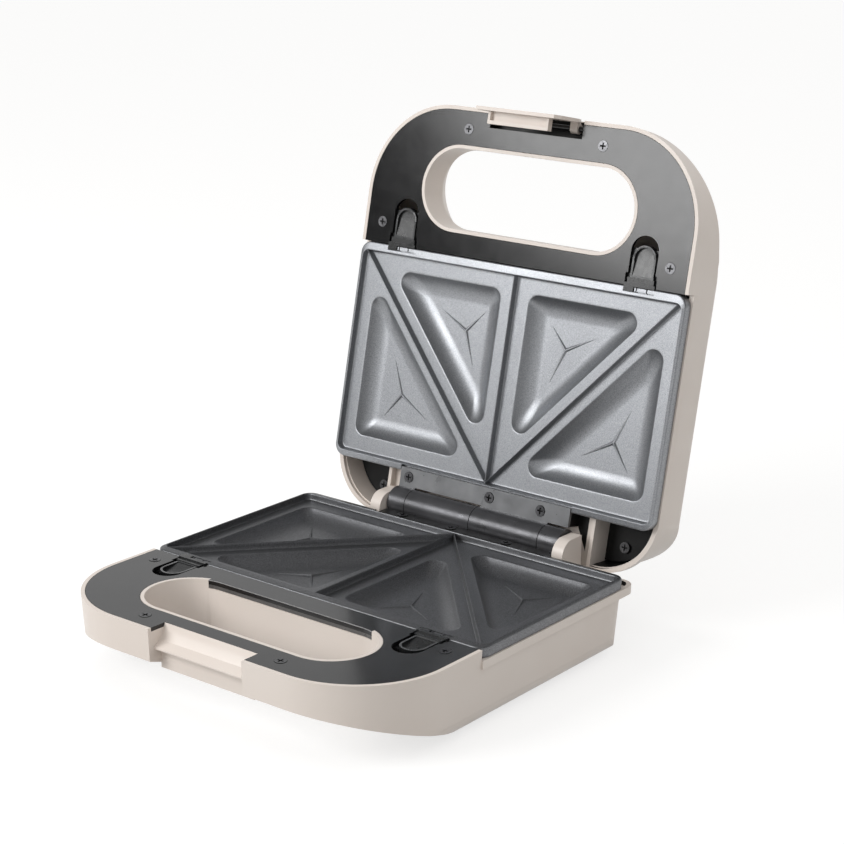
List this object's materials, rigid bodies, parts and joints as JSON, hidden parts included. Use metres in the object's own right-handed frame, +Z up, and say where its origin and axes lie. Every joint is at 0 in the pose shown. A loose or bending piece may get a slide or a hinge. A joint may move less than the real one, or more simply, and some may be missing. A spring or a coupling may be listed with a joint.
{
  "type": "sandwich toaster",
  "caption": "Open two-slice sandwich toaster with hinged cream shells, loop handles, a hook latch and removable plates with triangular pockets.",
  "frame": {"origin": "centre of the open object's footprint, at the height of the feet's undersides", "axes": "+X to the right seen from the handles, +Y from the handles to the hinge side, +Z up; stored with the lid open"},
  "size_m": [0.2322, 0.308, 0.2854],
  "materials": {
    "cream": "satin",
    "gloss_black": "gloss",
    "plate_coating": "fine-grained non-stick coating",
    "black_enamel": "satin",
    "grey_enamel": "satin",
    "zinc": "zinc plated",
    "reflector_sheet": "bright",
    "steel": "bright",
    "soft_black": "satin",
    "rubber": "matt",
    "ivory": "matt",
    "brown": "matt",
    "lamp_glass": "clear",
    "red_lens": "clear gloss",
    "green_lens": "clear gloss"
  },
  "bodies": {
    "base": {"base_shell": "cream", "hinge_housing": "cream", "base_handle_panel": "gloss_black", "base_panel_screws": "zinc", "base_heat_frame": "black_enamel", "base_frame_screws": "zinc", "base_reflector": "reflector_sheet", "base_element": "steel", "base_element_clips": "steel", "base_lever_springs": "steel", "base_hinge_leaf": "black_enamel", "base_hinge_screws": "zinc", "hinge_pin": "steel", "rubber_feet": "rubber", "cord_gland": "rubber", "terminal_block": "ivory", "thermostat": "brown"},
    "base_plate": {"base_cooking_plate": "plate_coating"},
    "base_lever_left": {"base_release_lever_left": "soft_black"},
    "base_lever_right": {"base_release_lever_right": "soft_black"},
    "lid": {"lid_shell": "cream", "lid_handle_panel": "gloss_black", "lid_panel_screws": "zinc", "lid_heat_frame": "black_enamel", "lid_frame_screws": "zinc", "lid_reflector": "reflector_sheet", "lid_element": "steel", "lid_element_clips": "steel", "lid_lever_springs": "steel", "lid_hinge_leaf": "grey_enamel", "lid_hinge_screws": "zinc", "latch_pin": "steel", "thermal_fuse": "ivory", "power_lamp": "lamp_glass", "ready_lamp": "lamp_glass", "power_lamp_lens": "red_lens", "ready_lamp_lens": "green_lens"},
    "lid_plate": {"lid_cooking_plate": "plate_coating"},
    "lid_lever_left": {"lid_release_lever_left": "soft_black"},
    "lid_lever_right": {"lid_release_lever_right": "soft_black"},
    "latch_arm": {"latch": "cream"}
  },
  "joints": [
    {"name": "lid_hinge", "type": "hinge", "parent": "base", "child": "lid", "pos_m": [0, 0.08501, 0.04625], "axis": [-1, 0, 0], "range_deg": [-101.55, 0]},
    {"name": "latch_hinge", "type": "hinge", "parent": "lid", "child": "latch_arm", "pos_m": [0, 0.13769, 0.27432], "axis": [-1, 0, 0], "range_deg": [0, 35]},
    {"name": "base_plate_tilt", "type": "hinge", "parent": "base", "child": "base_plate", "pos_m": [0, 0.06651, 0.0434], "axis": [-1, 0, 0], "range_deg": [0, 12]},
    {"name": "lid_plate_tilt", "type": "hinge", "parent": "lid", "child": "lid_plate", "pos_m": [0, 0.0915, 0.06381], "axis": [1, 0, 0], "range_deg": [0, 12]},
    {"name": "base_lever_left_slide", "type": "slide", "parent": "base", "child": "base_lever_left", "axis": [0, -1, 0], "range_m": [0, 0.005], "stiffness_N_per_m": 300, "springref_m": -0.004},
    {"name": "base_lever_right_slide", "type": "slide", "parent": "base", "child": "base_lever_right", "axis": [0, -1, 0], "range_m": [0, 0.005], "stiffness_N_per_m": 300, "springref_m": -0.004},
    {"name": "lid_lever_left_slide", "type": "slide", "parent": "lid", "child": "lid_lever_left", "axis": [0, 0.2002, 0.9798], "range_m": [0, 0.005], "stiffness_N_per_m": 300, "springref_m": -0.004},
    {"name": "lid_lever_right_slide", "type": "slide", "parent": "lid", "child": "lid_lever_right", "axis": [0, 0.2002, 0.9798], "range_m": [0, 0.005], "stiffness_N_per_m": 300, "springref_m": -0.004}
  ]
}
